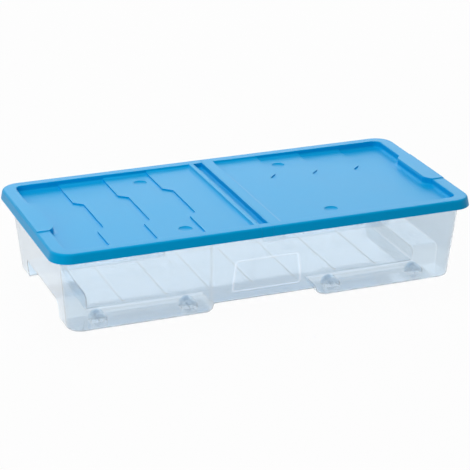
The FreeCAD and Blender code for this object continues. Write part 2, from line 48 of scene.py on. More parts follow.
finish = {"smoothAngle": 35, "normalWeight": 100}


# selecting and moving in edit mode
def clearSelection():
    if bpy.context.mode != "OBJECT":
        bpy.ops.object.mode_set(mode="OBJECT")
    bpy.ops.object.select_all(action="DESELECT")


def makeActive(piece):
    clearSelection()
    piece.select_set(True)
    bpy.context.view_layer.objects.active = piece


def openPiece(piece):
    makeActive(piece)
    bpy.ops.object.mode_set(mode="EDIT")
    bpy.ops.mesh.select_all(action="DESELECT")


def closePiece():
    bpy.ops.object.mode_set(mode="OBJECT")


def pickFaces(test):
    mesh = bmesh.from_edit_mesh(bpy.context.edit_object.data)
    bpy.ops.mesh.select_mode(type="FACE")
    bpy.ops.mesh.select_all(action="DESELECT")
    for face in mesh.faces:
        if test(face.calc_center_median_weighted(), face.normal):
            face.select_set(True)
    bmesh.update_edit_mesh(bpy.context.edit_object.data)


def pickEdges(test, sharpness=-1):
    mesh = bmesh.from_edit_mesh(bpy.context.edit_object.data)
    bpy.ops.mesh.select_mode(type="EDGE")
    bpy.ops.mesh.select_all(action="DESELECT")
    for edge in mesh.edges:
        if test(edge.verts[0].co, edge.verts[1].co) and edge.calc_face_angle(math.pi) > sharpness:
            edge.select_set(True)
    bmesh.update_edit_mesh(bpy.context.edit_object.data)


def pickPoints(test):
    mesh = bmesh.from_edit_mesh(bpy.context.edit_object.data)
    bpy.ops.mesh.select_mode(type="VERT")
    bpy.ops.mesh.select_all(action="DESELECT")
    for point in mesh.verts:
        if test(point.co):
            point.select_set(True)
    mesh.select_flush_mode()
    bmesh.update_edit_mesh(bpy.context.edit_object.data)


def move(x=0, y=0, z=0):
    bpy.ops.transform.translate(value=(x, y, z))


def grow(x=1, y=1, z=1, centre=(0, 0, 0)):
    bpy.ops.transform.resize(value=(x, y, z), center_override=centre)


def pullOut(x, y, z):
    bpy.ops.mesh.extrude_region_move(TRANSFORM_OT_translate={"value": (x, y, z)})


def cutAlong(place, direction):
    bpy.ops.mesh.bisect(plane_co=place, plane_no=direction)


def mergePoints(distance):
    bpy.ops.mesh.select_all(action="SELECT")
    bpy.ops.mesh.remove_doubles(threshold=distance)


def faceOutwards():
    bpy.ops.mesh.select_all(action="SELECT")
    bpy.ops.mesh.normals_make_consistent(inside=False)


def copyOf(model, x=0, y=0, turned=False):
    # a copy with its own mesh, turned half round for the front side and moved to its place
    makeActive(model)
    bpy.ops.object.duplicate()
    piece = bpy.context.object
    openPiece(piece)
    bpy.ops.mesh.select_all(action="SELECT")
    if turned:
        bpy.ops.transform.rotate(value=math.pi, orient_axis="Z", center_override=(0, 0, 0))
    move(x, y)
    closePiece()
    return piece


def near(a, b, room=touch):
    return abs(a - b) < room


# lid: one sheet with a sunk recess, cut into three pieces along its folds
lid = {
    "halfLength": 400, "halfWidth": 194, "top": 164.5, "skirtLow": 147, "flare": 3,
    "corner": 36, "cornerSteps": 10, "edge": 4, "edgeSteps": 4,
    "recessHalfLength": 373, "recessHalfWidth": 172, "wallRun": 0.2,
    "ridgeLeft": -26, "grooveLeft": -19, "grooveRight": 0, "ledgeRight": 21,
    "lip": 1.2, "lipSteps": 3, "footAcross": 9, "footUp": 4.2, "footSteps": 6,
    "panelDepth": 5.5, "panelDrop": 2.5, "firstStep": 113.5, "stepPitch": 86.5, "stepCount": 3,
    "jogShift": 16, "jogInner": 61, "jogOuter": 76.5,
    "dimpleX": 140, "dimpleY": 127, "dimpleRadius": 12.5, "dimpleDepth": 3, "dimplePatch": 16,
    "dimpleLip": 0.8, "dimpleLipSteps": 2, "dimpleAcross": 9.5, "dimpleUp": 2.1,
    "dimpleFootSteps": 7, "dimpleSides": 40,
    "tabReach": 12, "tabInner": 57, "tabOuter": 71, "tabRise": 1.5, "tabRound": 7,
    "tabSteps": 4, "tabEnd": 0.6, "tabRoom": 5, "tabShare": 0.9,
    "grooveDepth": 9, "grooveLip": 0.8, "grooveLipSteps": 2, "grooveFoot": 2.5,
    "grooveFootSteps": 4,
    "foldLeft": -20.5, "foldRight": 1.5, "foldGap": 0.3, "wall": 2,
    "softEdge": 0.45, "softSteps": 2, "softAngle": 40, "merge": 0.005,
}


def wallProfile(depth, lip, lipSteps, footAcross, footUp, footSteps):
    # small moves, each an inset and a drop, from the rim down the wall to the floor
    spots = [(0, 0)]
    for step in range(1, lipSteps + 1):
        turn = math.radians(90 * step / lipSteps)
        spots.append((lip * math.sin(turn), -lip * (1 - math.cos(turn))))
    for step in range(footSteps + 1):
        turn = math.radians(90 * step / footSteps)
        spots.append((lip + lid["wallRun"] + footAcross * (1 - math.cos(turn)),
                      -depth + footUp * (1 - math.sin(turn))))
    return [(b[0] - a[0], b[1] - a[1]) for a, b in zip(spots, spots[1:])]


def sinkRegion(profile):
    least = 0.0001  # an inset of nothing would make no new faces
    for across, drop in profile:
        bpy.ops.mesh.inset(thickness=max(across, least), depth=drop,
                           use_boundary=True, use_even_offset=True)


def lidBlank():
    s = lid
    clearSelection()
    middle = (s["top"] + s["skirtLow"]) / 2
    bpy.ops.mesh.primitive_cube_add(size=2, location=(0, 0, middle))
    blank = bpy.context.object
    blank.scale = (s["halfLength"], s["halfWidth"], (s["top"] - s["skirtLow"]) / 2)
    bpy.ops.object.transform_apply(location=True, rotation=True, scale=True)
    openPiece(blank)
    pickFaces(lambda c, n: n.z < -facing)
    bpy.ops.mesh.delete(type="FACE")
    pickEdges(lambda a, b: near(a.x, b.x) and near(a.y, b.y))
    bpy.ops.mesh.bevel(offset=s["corner"], segments=s["cornerSteps"], affect="EDGES")
    pickPoints(lambda p: p.z > middle)
    grow((s["halfLength"] - s["flare"]) / s["halfLength"],
         (s["halfWidth"] - s["flare"]) / s["halfWidth"])
    pickEdges(lambda a, b: a.z > middle and b.z > middle)
    bpy.ops.mesh.bevel(offset=s["edge"], segments=s["edgeSteps"], affect="EDGES")
    flat = lambda c, n: n.z > flatTop and near(c.z, s["top"])
    inner = s["halfWidth"] - s["flare"] - s["edge"] - s["recessHalfWidth"]
    pickFaces(flat)
    bpy.ops.mesh.inset(thickness=inner)
    reached = s["halfLength"] - s["flare"] - s["edge"] - inner
    grow(s["recessHalfLength"] / reached)
    cutRecessOutline(flat)
    return blank


def cutRecessOutline(flat):
    s = lid
    for x in (s["ridgeLeft"], s["grooveLeft"], s["grooveRight"], s["ledgeRight"]):
        pickFaces(lambda c, n: flat(c, n) and abs(c.y) < s["recessHalfWidth"] / 2
                  and abs(c.x) < s["recessHalfLength"] / 2 + s["ledgeRight"])
        cutAlong((x, 0, 0), (1, 0, 0))
    # the recess ends are drawn in along the tabs: two roots, two tips and the middle
    spots = ((-s["tabOuter"], 0), (-s["tabInner"], s["tabReach"]), (0, s["tabReach"]),
             (s["tabInner"], s["tabReach"]), (s["tabOuter"], 0))
    for end in (-1, 1):
        edgeX = end * s["recessHalfLength"]
        pickEdges(lambda a, b: near(a.x, edgeX) and near(b.x, edgeX) and a.y * b.y < 0)
        bpy.ops.mesh.subdivide(number_cuts=len(spots))
        mesh = bmesh.from_edit_mesh(bpy.context.edit_object.data)
        made = sorted(p.co.y for p in mesh.verts if near(p.co.x, edgeX))[1:-1]
        for y, (newY, reach) in zip(made, spots):
            pickPoints(lambda p: near(p.x, edgeX) and near(p.y, y))
            move(-end * reach, newY - y)
        pickPoints(lambda p: near(p.x, edgeX - end * s["tabReach"])
                   and near(abs(p.y), s["tabInner"]))
        bpy.ops.mesh.bevel(offset=s["tabRound"], segments=s["tabSteps"], affect="VERTICES")


def beyondStep(place, side, far):
    # true for a spot that lies outside one zigzag step line
    s = lid
    x, y = place.x * side, abs(place.y)
    share = (y - s["jogInner"]) / (s["jogOuter"] - s["jogInner"])
    return x > far - s["jogShift"] * (1 - min(1, max(0, share)))


def sinkHalf(side):
    s = lid
    start = s["ledgeRight"] if side > 0 else -s["ridgeLeft"]
    middleX = side * (start + s["recessHalfLength"]) / 2
    pickFaces(lambda c, n: n.z > flatTop and near(c.z, s["top"])
              and abs(c.x - middleX) < s["tabInner"] and abs(c.y) < s["tabInner"])
    sinkRegion(wallProfile(s["panelDepth"], s["lip"], s["lipSteps"],
                           s["footAcross"], s["footUp"], s["footSteps"]))
    floor = s["top"] - s["panelDepth"]
    low = lambda c, n: n.z > lookingUp and s["skirtLow"] < c.z < floor + s["footUp"] \
        and start < c.x * side < s["recessHalfLength"] and abs(c.y) < s["recessHalfWidth"]
    # zigzag lines: straight to the sides, a slanted jog, and a straight middle
    for y in (s["jogInner"], s["jogOuter"], -s["jogInner"], -s["jogOuter"]):
        pickFaces(low)
        cutAlong((0, y, 0), (0, 1, 0))
    for step in range(s["stepCount"]):
        far = s["firstStep"] + step * s["stepPitch"]
        closer = far - s["jogShift"]
        slant = (s["jogOuter"] - s["jogInner"]) / s["jogShift"]
        pickFaces(lambda c, n: low(c, n) and abs(c.y) > s["jogOuter"])
        cutAlong((far * side, 0, 0), (1, 0, 0))
        pickFaces(lambda c, n: low(c, n) and abs(c.y) < s["jogInner"])
        cutAlong((closer * side, 0, 0), (1, 0, 0))
        for end in (-1, 1):
            pickFaces(lambda c, n: low(c, n) and s["jogInner"] < c.y * end < s["jogOuter"])
            cutAlong((far * side, s["jogOuter"] * end, 0), (slant * side, -end, 0))
    for step in range(s["stepCount"]):
        far = s["firstStep"] + step * s["stepPitch"]
        pickFaces(lambda c, n: low(c, n) and beyondStep(c, side, far))
        pullOut(0, 0, -s["panelDrop"])


def addDimple(x, y):
    s = lid
    level = s["top"] - s["panelDepth"] - s["panelDrop"]
    patch = s["dimplePatch"]
    radius = s["dimpleRadius"] + s["dimpleLip"]
    onFloor = lambda c, n: n.z > flatTop and near(c.z, level, tight)
    for cut, direction in (((x - patch, 0, 0), (1, 0, 0)), ((x + patch, 0, 0), (1, 0, 0)),
                           ((0, y - patch, 0), (0, 1, 0)), ((0, y + patch, 0), (0, 1, 0))):
        pickFaces(lambda c, n: onFloor(c, n) and c.x * x > 0)
        cutAlong(cut, direction)
    pickFaces(lambda c, n: onFloor(c, n) and abs(c.x - x) < patch and abs(c.y - y) < patch)
    bpy.ops.mesh.delete(type="FACE")
    bpy.ops.mesh.select_all(action="DESELECT")
    bpy.ops.mesh.primitive_circle_add(vertices=s["dimpleSides"], radius=radius,
                                      location=(x, y, level))
    # the square hole in the floor is joined to the circle
    fromMiddle = lambda p: max(abs(p.x - x), abs(p.y - y))
    inPatch = lambda p: near(p.z, level, tight) and fromMiddle(p) < patch + spare
    onCircle = lambda p: inPatch(p) and near(math.hypot(p.x - x, p.y - y), radius, spare)
    onSquare = lambda p: inPatch(p) and near(fromMiddle(p), patch, spare)
    pickEdges(lambda a, b: onCircle(a) and onCircle(b) or onSquare(a) and onSquare(b))
    bpy.ops.mesh.bridge_edge_loops()
    pickEdges(lambda a, b: onCircle(a) and onCircle(b))
    for across, drop in wallProfile(s["dimpleDepth"], s["dimpleLip"], s["dimpleLipSteps"],
                                    s["dimpleAcross"], s["dimpleUp"], s["dimpleFootSteps"]):
        pullOut(0, 0, drop)
        share = (radius - across) / radius
        grow(share, share, 1, (x, y, 0))
        radius -= across
    bpy.ops.mesh.edge_face_add()


def finishPiece(piece, name, material):
    makeActive(piece)
    piece.scale = (mm, mm, mm)
    bpy.ops.object.transform_apply(location=True, rotation=True, scale=True)
    piece.name = name
    piece.data.name = name
    piece.data.materials.clear()
    piece.data.materials.append(material)
    bpy.ops.object.shade_smooth_by_angle(angle=math.radians(finish["smoothAngle"]))
    applyModifier(piece, "WEIGHTED_NORMAL", keep_sharp=True, weight=finish["normalWeight"])


def applyModifier(piece, kind, **values):
    makeActive(piece)
    modifier = piece.modifiers.new(kind.lower(), kind)
    for key, value in values.items():
        setattr(modifier, key, value)
    bpy.ops.object.modifier_apply(modifier=modifier.name)


def lidPieces(material):
    s = lid
    blank = lidBlank()
    for side in (-1, 1):
        sinkHalf(side)
        for end in (-1, 1):
            addDimple(side * s["dimpleX"], end * s["dimpleY"])
    # groove between the two folds
    pickFaces(lambda c, n: n.z > flatTop and near(c.z, s["top"])
              and s["grooveLeft"] < c.x < s["grooveRight"]
              and abs(c.y) < s["recessHalfWidth"] - loose)
    sinkRegion(wallProfile(s["grooveDepth"], s["grooveLip"], s["grooveLipSteps"],
                           s["grooveFoot"], s["grooveFoot"], s["grooveFootSteps"]))
    # raised end tabs, each with a steep little step at its two ends
    tabX = s["recessHalfLength"] - s["tabReach"]
    for y in (s["tabOuter"], -s["tabOuter"]):
        for shift in (0, s["tabEnd"]):
            pickFaces(lambda c, n: abs(c.x) > tabX - s["tabRoom"] and c.z > s["top"] - s["edge"])
            cutAlong((0, y + math.copysign(shift, y), 0), (0, 1, 0))
    pickPoints(lambda p: abs(p.x) > tabX - loose and abs(p.y) < s["tabOuter"] + touch
               and p.z > s["top"] - s["lip"] * s["tabShare"])
    move(z=s["tabRise"])
    mergePoints(s["merge"])
    closePiece()
    gap = s["foldGap"] / 2
    cuts = {
        "lid_left_half": [(s["foldLeft"] - gap, 1)],
        "lid_hinge_strip": [(s["foldLeft"] + gap, -1), (s["foldRight"] - gap, 1)],
        "lid_right_half": [(s["foldRight"] + gap, -1)],
    }
    made = {}
    for name, planes in cuts.items():
        piece = copyOf(blank)
        openPiece(piece)
        for foldX, away in planes:
            bpy.ops.mesh.select_all(action="SELECT")
            bpy.ops.mesh.bisect(plane_co=(foldX, 0, 0), plane_no=(away, 0, 0), clear_outer=True)
        closePiece()
        applyModifier(piece, "SOLIDIFY", thickness=s["wall"], offset=-1, use_even_offset=False)
        applyModifier(piece, "BEVEL", width=s["softEdge"], segments=s["softSteps"],
                      limit_method="ANGLE", angle_limit=math.radians(s["softAngle"]),
                      use_clamp_overlap=True)
        finishPiece(piece, name + "_moulding", material)
        made[name] = piece
    bpy.data.objects.remove(blank)
    return made


# tub: an open skin of walls, feet and raised floor, given its wall and joined with its details
tub = {
    "halfLength": 368.3, "halfWidth": 172, "foot": 8, "rim": 160.2, "wall": 2, "flange": 3,
    "endLean": 0.0901, "sideLean": 0.0798, "corner": 28, "cornerSteps": 8,
    "floor": 19, "channel": 102.5, "channelRound": 3, "roundSteps": 3, "sharp": 0.3, "merge": 0.01,
    "setback": 10, "setbackInner": 101.5, "setbackOuter": 113.5, "setbackTop": 150,
    "ledgeTop": 153, "setbackRound": 4.6,
    "gripTop": 45, "gripInner": 320.3, "gripRound": 10, "gripSteps": 6,
    "footRound": 4.5, "footSteps": 4,
    "frameLow": 37, "frameTop": 99, "frameHalfLow": 67, "frameHalfTop": 61, "frameLine": 2.2,
    "frameProud": 0.8, "frameSunk": 1, "frameRound": 7, "frameSteps": 4,
    "ribPitch": 82.5, "ribsEachSide": 3, "ribHalfWidth": 2.5, "ribReach": 92.5,
    "ribLow": 20, "ribTop": 22.6, "ribRound": 0.7, "ribSteps": 2,
    "pocketInner": 124, "pocketOuter": 139, "pocketRadius": 13.5, "pocketLow": -5,
    "housingRadius": 15.5, "housingSunk": 1, "pocketSides": 48,
    "pinHole": 1.53, "pinHoleSpare": 2, "pinHoleSides": 24,
}


def wheelPlaces():
    # each wheel's name, its place along the box and whether it is on the rear side
    s = wheels
    for side, isRear in (("front", False), ("rear", True)):
        for number, x in enumerate((-s["outer"], -s["inner"], s["inner"], s["outer"]), start=1):
            yield side + "_" + str(number), x, isRear


def tubSkin():
    # the outside: walls, feet, raised floor, finger grips and set-back middle
    s = tub
    clearSelection()
    middle = (s["rim"] + s["foot"]) / 2
    bpy.ops.mesh.primitive_cube_add(size=2, location=(0, 0, middle))
    skin = bpy.context.object
    skin.scale = (s["halfLength"], s["halfWidth"], (s["rim"] - s["foot"]) / 2)
    bpy.ops.object.transform_apply(location=True, rotation=True, scale=True)
    openPiece(skin)
    pickFaces(lambda c, n: n.z > facing)
    bpy.ops.mesh.delete(type="FACE")
    pickEdges(lambda a, b: near(a.x, b.x) and near(a.y, b.y))
    bpy.ops.mesh.bevel(offset=s["corner"], segments=s["cornerSteps"], affect="EDGES")
    cuts = [((0, 0, z), (0, 0, 1))
            for z in (s["floor"], s["gripTop"], s["setbackTop"], s["ledgeTop"])]
    for end in (-1, 1):
        cuts += [((end * x, 0, 0), (1, 0, 0))
                 for x in (s["setbackInner"], s["setbackOuter"], s["gripInner"])]
        cuts.append(((0, end * s["channel"], 0), (0, 1, 0)))
    for place, direction in cuts:
        bpy.ops.mesh.select_all(action="SELECT")
        cutAlong(place, direction)
    inMiddle = lambda c: abs(c.x) < s["setbackInner"]
    inChannel = lambda c: abs(c.y) < s["channel"]
    onEnd = lambda c: near(abs(c.x), s["halfLength"]) and inChannel(c)
    onSide = lambda c: near(abs(c.y), s["halfWidth"]) and inMiddle(c)
    mouth = lambda c, n: onSide(c) and c.z < s["floor"] or onEnd(c) and c.z < s["gripTop"]
    pickFaces(mouth)
    bpy.ops.mesh.delete(type="FACE")
    pickFaces(lambda c, n: n.z < -facing and (inMiddle(c) or inChannel(c)))
    pullOut(0, 0, s["floor"] - s["foot"])
    pickFaces(mouth)
    bpy.ops.mesh.delete(type="FACE")
    pickFaces(lambda c, n: near(c.z, s["floor"]) and abs(c.x) > s["gripInner"])
    pullOut(0, 0, s["gripTop"] - s["floor"])
    pickFaces(mouth)
    bpy.ops.mesh.delete(type="FACE")
    mergePoints(s["merge"])
    for end in (-1, 1):
        pickPoints(lambda p: near(p.y * end, s["halfWidth"]) and p.z < s["setbackTop"] + spare
                   and abs(p.x) < s["setbackInner"] + spare)
        move(y=-end * s["setback"])
    leanWalls()
    return skin


def leanWalls():
    # each height row of the walls moves out by its own amount
    s = tub
    mesh = bmesh.from_edit_mesh(bpy.context.edit_object.data)
    for level in sorted({round(p.co.z, 2) for p in mesh.verts}):
        rise = level - s["foot"]
        for end in (-1, 1):
            pickPoints(lambda p: near(p.z, level)
                       and p.x * end > s["halfLength"] - s["corner"] - spare)
            move(x=end * rise * s["endLean"])
            pickPoints(lambda p: near(p.z, level)
                       and p.y * end > s["halfWidth"] - s["corner"] - spare)
            move(y=end * rise * s["sideLean"])


def roundTub():
    s = tub
    atFoot = lambda p: near(p.z, s["foot"])
    atFloor = lambda p: near(p.z, s["floor"])
    atGripTop = lambda p: near(p.z, s["gripTop"])
    onWall = lambda p, y: near(abs(p.y), y + (p.z - s["foot"]) * s["sideLean"], loose)
    # roof corners of the grips
    pickEdges(lambda a, b: atGripTop(a) and atGripTop(b) and near(abs(a.y), s["channel"])
              and near(a.y, b.y) and min(abs(a.x), abs(b.x)) > s["gripInner"] - spare)
    bpy.ops.mesh.bevel(offset=s["gripRound"], segments=s["gripSteps"], affect="EDGES")
    # upright edges of the set-back middle
    for x, y in ((s["setbackOuter"], s["halfWidth"]),
                 (s["setbackInner"], s["halfWidth"] - s["setback"])):
        pickEdges(lambda a, b: near(abs(a.x), x) and near(a.x, b.x) and onWall(a, y)
                  and onWall(b, y) and max(a.z, b.z) < s["setbackTop"] + spare)
        bpy.ops.mesh.bevel(offset=s["setbackRound"], segments=s["roundSteps"], affect="EDGES")
    # lower edges all round each foot
    pickEdges(lambda a, b: atFoot(a) and atFoot(b), sharpness=s["sharp"])
    bpy.ops.mesh.bevel(offset=s["footRound"], segments=s["footSteps"], affect="EDGES")
    # upper edges of the channel between the feet
    pickEdges(lambda a, b: atFloor(a) and atFloor(b)
              and max(abs(a.x), abs(b.x)) < s["gripInner"] + spare, sharpness=s["sharp"])
    bpy.ops.mesh.bevel(offset=s["channelRound"], segments=s["roundSteps"], affect="EDGES")


def tubFlange():
    s = tub
    pickEdges(lambda a, b: near(a.z, s["rim"]) and near(b.z, s["rim"]))
    pullOut(0, 0, 0)
    halfX = s["halfLength"] + (s["rim"] - s["foot"]) * s["endLean"]
    halfY = s["halfWidth"] + (s["rim"] - s["foot"]) * s["sideLean"]
    grow((halfX + s["flange"]) / halfX, (halfY + s["flange"]) / halfY)
    faceOutwards()
    # an open skin may come out of that inside out, which its right end wall shows
    mesh = bmesh.from_edit_mesh(bpy.context.edit_object.data)
    endWall = max((f for f in mesh.faces if abs(f.normal.x) > facing),
                  key=lambda f: f.calc_center_median().x)
    if endWall.normal.x < 0:
        bpy.ops.mesh.flip_normals()


def rodAlongY(radius, innerY, outerY, sides):
    clearSelection()
    bpy.ops.mesh.primitive_cylinder_add(
        vertices=sides, radius=radius, depth=outerY - innerY, rotation=(math.pi / 2, 0, 0),
        location=(0, (innerY + outerY) / 2, wheels["radius"]))
    rod = bpy.context.object
    bpy.ops.object.transform_apply(location=True, rotation=True, scale=True)
    return rod


def roundedArch(radius, innerY, outerY, lowZ):
    # round-topped block about the axle of a rear wheel
    axleZ = wheels["radius"]
    arch = rodAlongY(radius, innerY, outerY, tub["pocketSides"])
    openPiece(arch)
    # the lower half is drawn down to straight sides
    pickPoints(lambda p: p.z < axleZ - tight)
    bpy.ops.mesh.delete(type="VERT")
    pickEdges(lambda a, b: near(a.z, axleZ, tight) and near(b.z, axleZ, tight) and near(a.x, b.x))
    pullOut(0, 0, lowZ - axleZ)
    for y in (innerY, outerY):
        pickEdges(lambda a, b: near(a.y, y, tight) and near(b.y, y, tight))
        bpy.ops.mesh.edge_face_add()
    pickEdges(lambda a, b: near(a.z, lowZ, tight) and near(b.z, lowZ, tight))
    bpy.ops.mesh.edge_face_add()
    faceOutwards()
    closePiece()
    return arch


def wallFrame():
    # thin raised outline with rounded corners on the rear set-back wall
    s = tub
    wallY = s["halfWidth"] - s["setback"]
    clearSelection()
    bpy.ops.mesh.primitive_plane_add(size=2, rotation=(math.pi / 2, 0, 0))
    ring = bpy.context.object
    bpy.ops.object.transform_apply(location=True, rotation=True, scale=True)
    openPiece(ring)
    for z, half, newZ in ((-1, s["frameHalfLow"], s["frameLow"]),
                          (1, s["frameHalfTop"], s["frameTop"])):
        for end in (-1, 1):
            pickPoints(lambda p: near(p.z, z) and near(p.x, end))
            move(end * half - end, 0, newZ - s["foot"] - z)
    bpy.ops.mesh.select_all(action="SELECT")
    bpy.ops.mesh.bevel(offset=s["frameRound"], segments=s["frameSteps"], affect="VERTICES")
    bpy.ops.mesh.select_all(action="SELECT")
    bpy.ops.mesh.inset(thickness=s["frameLine"])
    bpy.ops.mesh.delete(type="FACE")
    bpy.ops.mesh.select_all(action="SELECT")
    pullOut(0, s["frameProud"] + s["frameSunk"], 0)
    faceOutwards()
    # it goes to the wall and leans with it
    move(0, wallY - s["frameSunk"], 0)
    bpy.ops.transform.rotate(value=math.atan(s["sideLean"]), orient_axis="X",
                             center_override=(0, wallY, 0))
    move(0, 0, s["foot"])
    closePiece()
    return ring


def floorRib():
    # low stiffening rib across the middle of the raised floor
    s = tub
    clearSelection()
    bpy.ops.mesh.primitive_cube_add(size=2, location=(0, 0, (s["ribLow"] + s["ribTop"]) / 2))
    rib = bpy.context.object
    rib.scale = (s["ribHalfWidth"], s["ribReach"], (s["ribTop"] - s["ribLow"]) / 2)
    bpy.ops.object.transform_apply(location=True, rotation=True, scale=True)
    openPiece(rib)
    pickEdges(lambda a, b: near(a.z, s["ribTop"]) and near(b.z, s["ribTop"]))
    bpy.ops.mesh.bevel(offset=s["ribRound"], segments=s["ribSteps"], affect="EDGES")
    closePiece()
    return rib


def joinPieces(pieces):
    clearSelection()
    for piece in pieces:
        piece.select_set(True)
    bpy.context.view_layer.objects.active = pieces[0]
    bpy.ops.object.join()
    return bpy.context.object


def combine(piece, tools, operation):
    tool = joinPieces(tools)
    applyModifier(piece, "BOOLEAN", object=tool, operation=operation, solver="MANIFOLD")
    bpy.data.objects.remove(tool)


def atWheels(model):
    # the same detail at all eight wheels
    copies = [copyOf(model, x, turned=not isRear) for place, x, isRear in wheelPlaces()]
    bpy.data.objects.remove(model)
    return copies


def tubPiece(material):
    s = tub
    skin = tubSkin()
    roundTub()
    tubFlange()
    closePiece()
    applyModifier(skin, "SOLIDIFY", thickness=s["wall"], offset=-1, use_even_offset=True)
    innerY, outerY = s["pocketInner"] - s["wall"], s["pocketOuter"] + s["wall"]
    housing = roundedArch(s["housingRadius"], innerY, outerY, s["foot"] + s["housingSunk"])
    combine(skin, atWheels(housing), "UNION")
    rearFrame = wallFrame()
    combine(skin, [rearFrame, copyOf(rearFrame, turned=True)], "UNION")
    middleRib = floorRib()
    ribs = [copyOf(middleRib, number * s["ribPitch"])
            for number in range(-s["ribsEachSide"], s["ribsEachSide"] + 1) if number]
    combine(skin, [middleRib] + ribs, "UNION")
    pocket = roundedArch(s["pocketRadius"], s["pocketInner"], s["pocketOuter"], s["pocketLow"])
    combine(skin, atWheels(pocket), "DIFFERENCE")
    hole = rodAlongY(s["pinHole"], innerY - s["pinHoleSpare"], outerY + s["pinHoleSpare"],
                     s["pinHoleSides"])
    combine(skin, atWheels(hole), "DIFFERENCE")
    finishPiece(skin, "tub_moulding", material)
    return skin


# wheels: turned with a dished face on both sides
wheels = {
    "inner": 138.8, "outer": 307.3, "middleY": 131.5, "radius": 12, "width": 12, "shoulder": 1.2,
    "shoulderSteps": 3, "rim": 2.5, "dish": 2, "dishSlope": 0.3, "hub": 4.5, "bore": 1.58,
    "turnSteps": 48, "merge": 0.002,
}


def lathe(profile, steps):
    # a piece turned about the wheel axle from a list of radius and length pairs
    clearSelection()
    bpy.ops.mesh.primitive_plane_add(size=1)
    piece = bpy.context.object
    openPiece(piece)
    bpy.ops.mesh.select_all(action="SELECT")
    bpy.ops.mesh.merge(type="CENTER")
    bpy.ops.mesh.select_all(action="SELECT")
    bpy.ops.mesh.select_mode(type="VERT")
    move(profile[0][0], profile[0][1], 0)
    for last, spot in zip(profile, profile[1:]):
        pullOut(spot[0] - last[0], spot[1] - last[1], 0)
    bpy.ops.mesh.select_all(action="SELECT")
    bpy.ops.mesh.spin(steps=steps, angle=2 * math.pi, center=(0, 0, 0), axis=(0, 1, 0))
    mergePoints(wheels["merge"])
    faceOutwards()
    move(0, 0, wheels["radius"])
    closePiece()
    return piece


def softened(corners, radius, steps):
    # a profile with each corner rounded by a short arc
    most = 0.45  # an arc takes at most this share of the sides it joins
    made = []
    for index, corner in enumerate(corners):
        here = Vector(corner)
        backward = Vector(corners[index - 1]) - here
        forward = Vector(corners[(index + 1) % len(corners)]) - here
        cut = min(radius, backward.length * most, forward.length * most)
        start, end = here + backward.normalized() * cut, here + forward.normalized() * cut
        for step in range(steps + 1):
            on, back = step / steps, 1 - step / steps
            made.append(tuple(start * back ** 2 + here * (2 * on * back) + end * on ** 2))
    return made


def wheelModel():
    s = wheels
    face, dish = s["width"] / 2, s["width"] / 2 - s["dish"]
    rim = s["radius"] - s["rim"]
    upper = [(s["bore"], face), (s["hub"], face), (s["hub"] + s["dishSlope"], dish),
             (rim - s["dishSlope"], dish), (rim, face), (s["radius"], face)]
    lower = [(radius, -y) for radius, y in reversed(upper)]
    profile = softened(upper + lower, s["shoulder"], s["shoulderSteps"])
    return lathe(profile + [profile[0]], s["turnSteps"])


# pins: plain wire with a small head, modelled at the rear side
pins = {
    "radius": 1.5, "chamfer": 0.4, "inner": 122, "headSeat": 141.08, "headRadius": 1.9,
    "headEdge": 0.1, "headThick": 1, "headCurve": ((1, 0.35), (0.85, 0.7), (0.5, 0.94)),
    "turnSteps": 32,
}


def pinModel():
    s = pins
    seat, head = s["headSeat"], s["headRadius"]
    profile = [(0, s["inner"]), (s["radius"] - s["chamfer"], s["inner"]),
               (s["radius"], s["inner"] + s["chamfer"]), (s["radius"], seat),
               (head - s["headEdge"], seat), (head, seat + s["headEdge"])]
    profile += [(head * across, seat + s["headThick"] * up) for across, up in s["headCurve"]]
    return lathe(profile + [(0, seat + s["headThick"])], s["turnSteps"])


# materials, and the effects that several of them use
effects = {
    "grainDetail": 2, "grainDistance": 0.0004,
    "handlingSize": 7, "handlingDetail": 5, "handlingRoughness": 0.55, "edgeSamples": 4,
}


def newGroup(name, takes, gives):
    group = bpy.data.node_groups.new(name, "ShaderNodeTree")
    for label, kind, value in takes:
        socket = group.interface.new_socket(name=label, in_out="INPUT", socket_type=kind)
        socket.default_value = value
    for label, kind in gives:
        group.interface.new_socket(name=label, in_out="OUTPUT", socket_type=kind)
    return group, group.nodes.new("NodeGroupInput"), group.nodes.new("NodeGroupOutput")


def mouldGrainGroup():
    # the fine, even texture of a moulded surface, as a normal
    group, takes, gives = newGroup(
        "mould grain", [("Size", "NodeSocketFloat", 900), ("Depth", "NodeSocketFloat", 0.02)],
        [("Normal", "NodeSocketVector")])
    nodes, links = group.nodes, group.links
    place = nodes.new("ShaderNodeTexCoord")
    noise = nodes.new("ShaderNodeTexNoise")
    noise.inputs["Detail"].default_value = effects["grainDetail"]
    bump = nodes.new("ShaderNodeBump")
    bump.inputs["Distance"].default_value = effects["grainDistance"]
    links.new(place.outputs["Object"], noise.inputs["Vector"])
    links.new(takes.outputs["Size"], noise.inputs["Scale"])
    links.new(takes.outputs["Depth"], bump.inputs["Strength"])
    links.new(noise.outputs["Fac"], bump.inputs["Height"])
    links.new(bump.outputs["Normal"], gives.inputs["Normal"])
    return group


